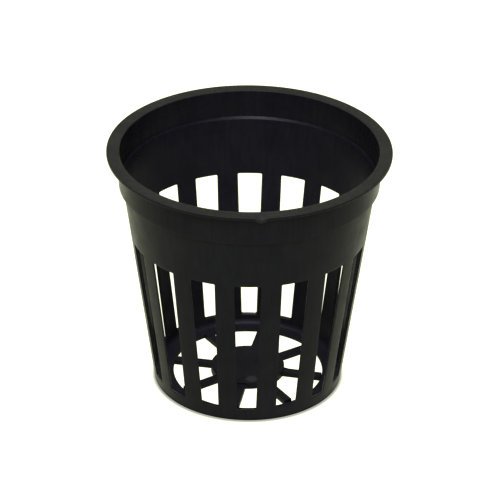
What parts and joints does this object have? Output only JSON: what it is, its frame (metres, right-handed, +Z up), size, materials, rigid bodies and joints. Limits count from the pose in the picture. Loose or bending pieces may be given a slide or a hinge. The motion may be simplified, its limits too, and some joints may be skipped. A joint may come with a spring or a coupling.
{
  "type": "net pot",
  "caption": "Small round tapered net pot of black moulded plastic: flat lip, stepped collar, tall open slots between ribs and a spoked open floor.",
  "frame": {"origin": "on the pot's axis, at the underside of the foot, where it stands on a table", "axes": "+Z up along the pot's axis, out of the mouth; -Y towards the viewer of the picture; slots are centred on X and Y"},
  "size_m": [0.057, 0.057, 0.0517],
  "materials": {
    "black_plastic": "satin black moulded plastic"
  },
  "bodies": {
    "root": {"foot_ring": "black_plastic", "floor_ring": "black_plastic", "floor_hub": "black_plastic", "floor_spoke_1": "black_plastic", "floor_spoke_2": "black_plastic", "floor_spoke_3": "black_plastic", "floor_spoke_4": "black_plastic", "floor_spoke_5": "black_plastic", "floor_spoke_6": "black_plastic", "floor_spoke_7": "black_plastic", "floor_spoke_8": "black_plastic", "lower_band": "black_plastic", "wall_rib_01": "black_plastic", "wall_rib_02": "black_plastic", "wall_rib_03": "black_plastic", "wall_rib_04": "black_plastic", "wall_rib_05": "black_plastic", "wall_rib_06": "black_plastic", "wall_rib_07": "black_plastic", "wall_rib_08": "black_plastic", "wall_rib_09": "black_plastic", "wall_rib_10": "black_plastic", "wall_rib_11": "black_plastic", "wall_rib_12": "black_plastic", "wall_rib_13": "black_plastic", "wall_rib_14": "black_plastic", "wall_rib_15": "black_plastic", "wall_rib_16": "black_plastic", "upper_band": "black_plastic", "step_ledge": "black_plastic", "collar": "black_plastic", "rim_lip": "black_plastic"}
  },
  "joints": []
}
